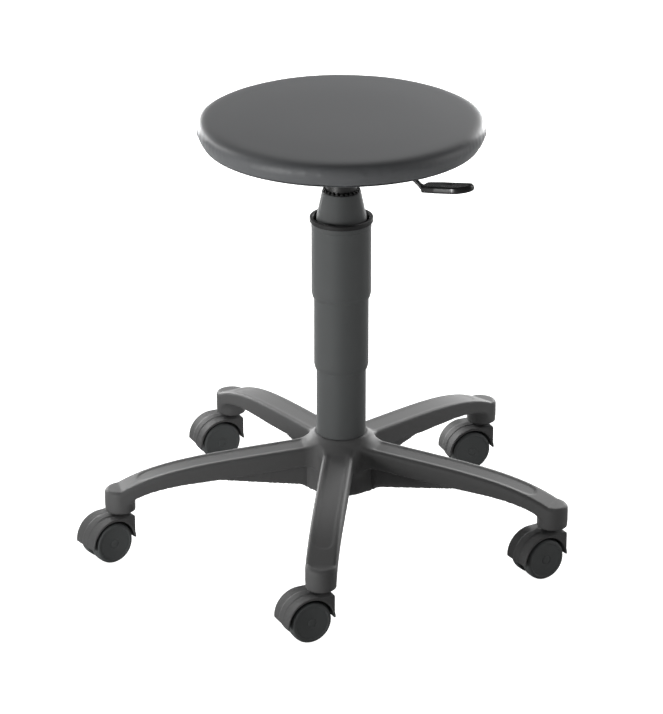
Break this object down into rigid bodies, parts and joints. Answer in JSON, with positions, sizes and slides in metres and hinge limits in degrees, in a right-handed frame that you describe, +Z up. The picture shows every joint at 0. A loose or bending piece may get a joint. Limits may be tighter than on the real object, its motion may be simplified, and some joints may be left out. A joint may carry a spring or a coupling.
{
  "type": "adjustable swivel stool",
  "caption": "Round padded swivel stool with lever-released height adjustment, a telescopic cover round its lift, and a star base on twin-wheel casters.",
  "frame": {"origin": "on the floor, on the column's axis", "axes": "+Z up along the column, +X to the right and -Y to the front, the side that the first leg points to"},
  "size_m": [0.602, 0.5808, 0.55],
  "materials": {
    "leatherette": "satin grained leatherette",
    "foam": "open-cell foam",
    "plywood": "raw plywood",
    "zinc_steel": "zinc plated",
    "black_cloth": "non-woven cloth",
    "black_steel": "black powder coat",
    "handle_plastic": "black, slightly glossy",
    "chrome_rod": "hard chrome",
    "bushing_plastic": "acetal",
    "brass": "machined",
    "rubber": "matt",
    "cover_plastic": "dark grey, satin",
    "rim_black": "black",
    "base_nylon": "dark grey glass-filled nylon, satin",
    "caster_nylon": "dark grey nylon, satin",
    "wheel_nylon": "dark grey nylon, matt"
  },
  "bodies": {
    "base": {"star_base": "base_nylon", "hub_sleeve": "zinc_steel", "stand_tube": "black_steel", "guide_bushing": "bushing_plastic", "bearing_lower_race": "zinc_steel", "cover_low_tube": "cover_plastic", "socket_sleeves": "zinc_steel", "caster_stems": "zinc_steel", "grip_rings": "zinc_steel"},
    "spindle": {"piston_rod": "chrome_rod", "piston": "brass", "bearing_upper_race": "zinc_steel", "bearing_balls": "zinc_steel", "bump_stop": "rubber", "rod_clip": "zinc_steel"},
    "seat": {"seat_cover": "leatherette", "seat_foam": "foam", "seat_board": "plywood", "tee_nuts": "zinc_steel", "underside_cloth": "black_cloth", "staples": "zinc_steel", "mounting_plate": "black_steel", "plate_screws": "zinc_steel", "plate_washers": "zinc_steel", "taper_socket": "black_steel", "lever_bracket": "black_steel", "lever_pin": "zinc_steel", "pin_clips": "zinc_steel", "gas_cylinder": "black_steel", "rod_guide": "brass", "rod_seal": "rubber", "cover_cone": "cover_plastic", "cone_grip_ring": "rim_black", "rim_ring": "rim_black", "cover_top_tube": "cover_plastic"},
    "lever": {"lever_rod": "black_steel", "lever_handle": "handle_plastic"},
    "release": {"release_pin": "bushing_plastic"},
    "cover_mid": {"cover_mid_tube": "cover_plastic"},
    "caster_1": {"hood_1": "caster_nylon", "axle_1": "zinc_steel"},
    "caster_wheel_a_1": {"wheel_a_1": "wheel_nylon"},
    "caster_wheel_b_1": {"wheel_b_1": "wheel_nylon"},
    "caster_2": {"hood_2": "caster_nylon", "axle_2": "zinc_steel"},
    "caster_wheel_a_2": {"wheel_a_2": "wheel_nylon"},
    "caster_wheel_b_2": {"wheel_b_2": "wheel_nylon"},
    "caster_3": {"hood_3": "caster_nylon", "axle_3": "zinc_steel"},
    "caster_wheel_a_3": {"wheel_a_3": "wheel_nylon"},
    "caster_wheel_b_3": {"wheel_b_3": "wheel_nylon"},
    "caster_4": {"hood_4": "caster_nylon", "axle_4": "zinc_steel"},
    "caster_wheel_a_4": {"wheel_a_4": "wheel_nylon"},
    "caster_wheel_b_4": {"wheel_b_4": "wheel_nylon"},
    "caster_5": {"hood_5": "caster_nylon", "axle_5": "zinc_steel"},
    "caster_wheel_a_5": {"wheel_a_5": "wheel_nylon"},
    "caster_wheel_b_5": {"wheel_b_5": "wheel_nylon"}
  },
  "joints": [
    {"name": "seat_swivel", "type": "hinge", "parent": "base", "child": "spindle", "pos_m": [0, 0, 0], "axis": [0, 0, 1], "continuous": true},
    {"name": "seat_lift", "type": "slide", "parent": "spindle", "child": "seat", "axis": [0, 0, 1], "range_m": [-0.13, 0]},
    {"name": "cover_mid_slide", "type": "slide", "parent": "base", "child": "cover_mid", "axis": [0, 0, 1], "range_m": [-0.065, 0]},
    {"name": "lever_pull", "type": "hinge", "parent": "seat", "child": "lever", "pos_m": [0.02205, -0.01378, 0.508], "axis": [-0.5299, -0.848, 0], "range_deg": [0, 5], "stiffness_Nm_per_rad": 2, "springref_deg": -6.88},
    {"name": "release_press", "type": "slide", "parent": "seat", "child": "release", "axis": [0, 0, 1], "range_m": [-0.0024, 0]},
    {"name": "caster_swivel_1", "type": "hinge", "parent": "base", "child": "caster_1", "pos_m": [-0.02432, -0.27794, 0], "axis": [0, 0, 1], "continuous": true},
    {"name": "wheel_spin_a_1", "type": "hinge", "parent": "caster_1", "child": "caster_wheel_a_1", "pos_m": [-0.04319, -0.28714, 0.026], "axis": [0.4384, -0.8988, 0], "continuous": true},
    {"name": "wheel_spin_b_1", "type": "hinge", "parent": "caster_1", "child": "caster_wheel_b_1", "pos_m": [-0.04319, -0.28714, 0.026], "axis": [0.4384, -0.8988, 0], "continuous": true},
    {"name": "caster_swivel_2", "type": "hinge", "parent": "base", "child": "caster_2", "pos_m": [0.25682, -0.10901, 0], "axis": [0, 0, 1], "continuous": true},
    {"name": "wheel_spin_a_2", "type": "hinge", "parent": "caster_2", "child": "caster_wheel_a_2", "pos_m": [0.23882, -0.11983, 0.026], "axis": [0.515, -0.8572, 0], "continuous": true},
    {"name": "wheel_spin_b_2", "type": "hinge", "parent": "caster_2", "child": "caster_wheel_b_2", "pos_m": [0.23882, -0.11983, 0.026], "axis": [0.515, -0.8572, 0], "continuous": true},
    {"name": "caster_swivel_3", "type": "hinge", "parent": "base", "child": "caster_3", "pos_m": [0.18304, 0.21056, 0], "axis": [0, 0, 1], "continuous": true},
    {"name": "wheel_spin_a_3", "type": "hinge", "parent": "caster_3", "child": "caster_wheel_a_3", "pos_m": [0.16357, 0.2027, 0.026], "axis": [0.3746, -0.9272, 0], "continuous": true},
    {"name": "wheel_spin_b_3", "type": "hinge", "parent": "caster_3", "child": "caster_wheel_b_3", "pos_m": [0.16357, 0.2027, 0.026], "axis": [0.3746, -0.9272, 0], "continuous": true},
    {"name": "caster_swivel_4", "type": "hinge", "parent": "base", "child": "caster_4", "pos_m": [-0.1437, 0.23915, 0], "axis": [0, 0, 1], "continuous": true},
    {"name": "wheel_spin_a_4", "type": "hinge", "parent": "caster_4", "child": "caster_wheel_a_4", "pos_m": [-0.16257, 0.22994, 0.026], "axis": [0.4384, -0.8988, 0], "continuous": true},
    {"name": "wheel_spin_b_4", "type": "hinge", "parent": "caster_4", "child": "caster_wheel_b_4", "pos_m": [-0.16257, 0.22994, 0.026], "axis": [0.4384, -0.8988, 0], "continuous": true},
    {"name": "caster_swivel_5", "type": "hinge", "parent": "base", "child": "caster_5", "pos_m": [-0.27185, -0.06276, 0], "axis": [0, 0, 1], "continuous": true},
    {"name": "wheel_spin_a_5", "type": "hinge", "parent": "caster_5", "child": "caster_wheel_a_5", "pos_m": [-0.28884, -0.07511, 0.026], "axis": [0.5878, -0.809, 0], "continuous": true},
    {"name": "wheel_spin_b_5", "type": "hinge", "parent": "caster_5", "child": "caster_wheel_b_5", "pos_m": [-0.28884, -0.07511, 0.026], "axis": [0.5878, -0.809, 0], "continuous": true}
  ],
  "couplings": [
    {"joint": "cover_mid_slide", "follows": "seat_lift", "ratio": 0.5},
    {"joint": "release_press", "follows": "lever_pull", "m_per_rad": -0.026}
  ]
}
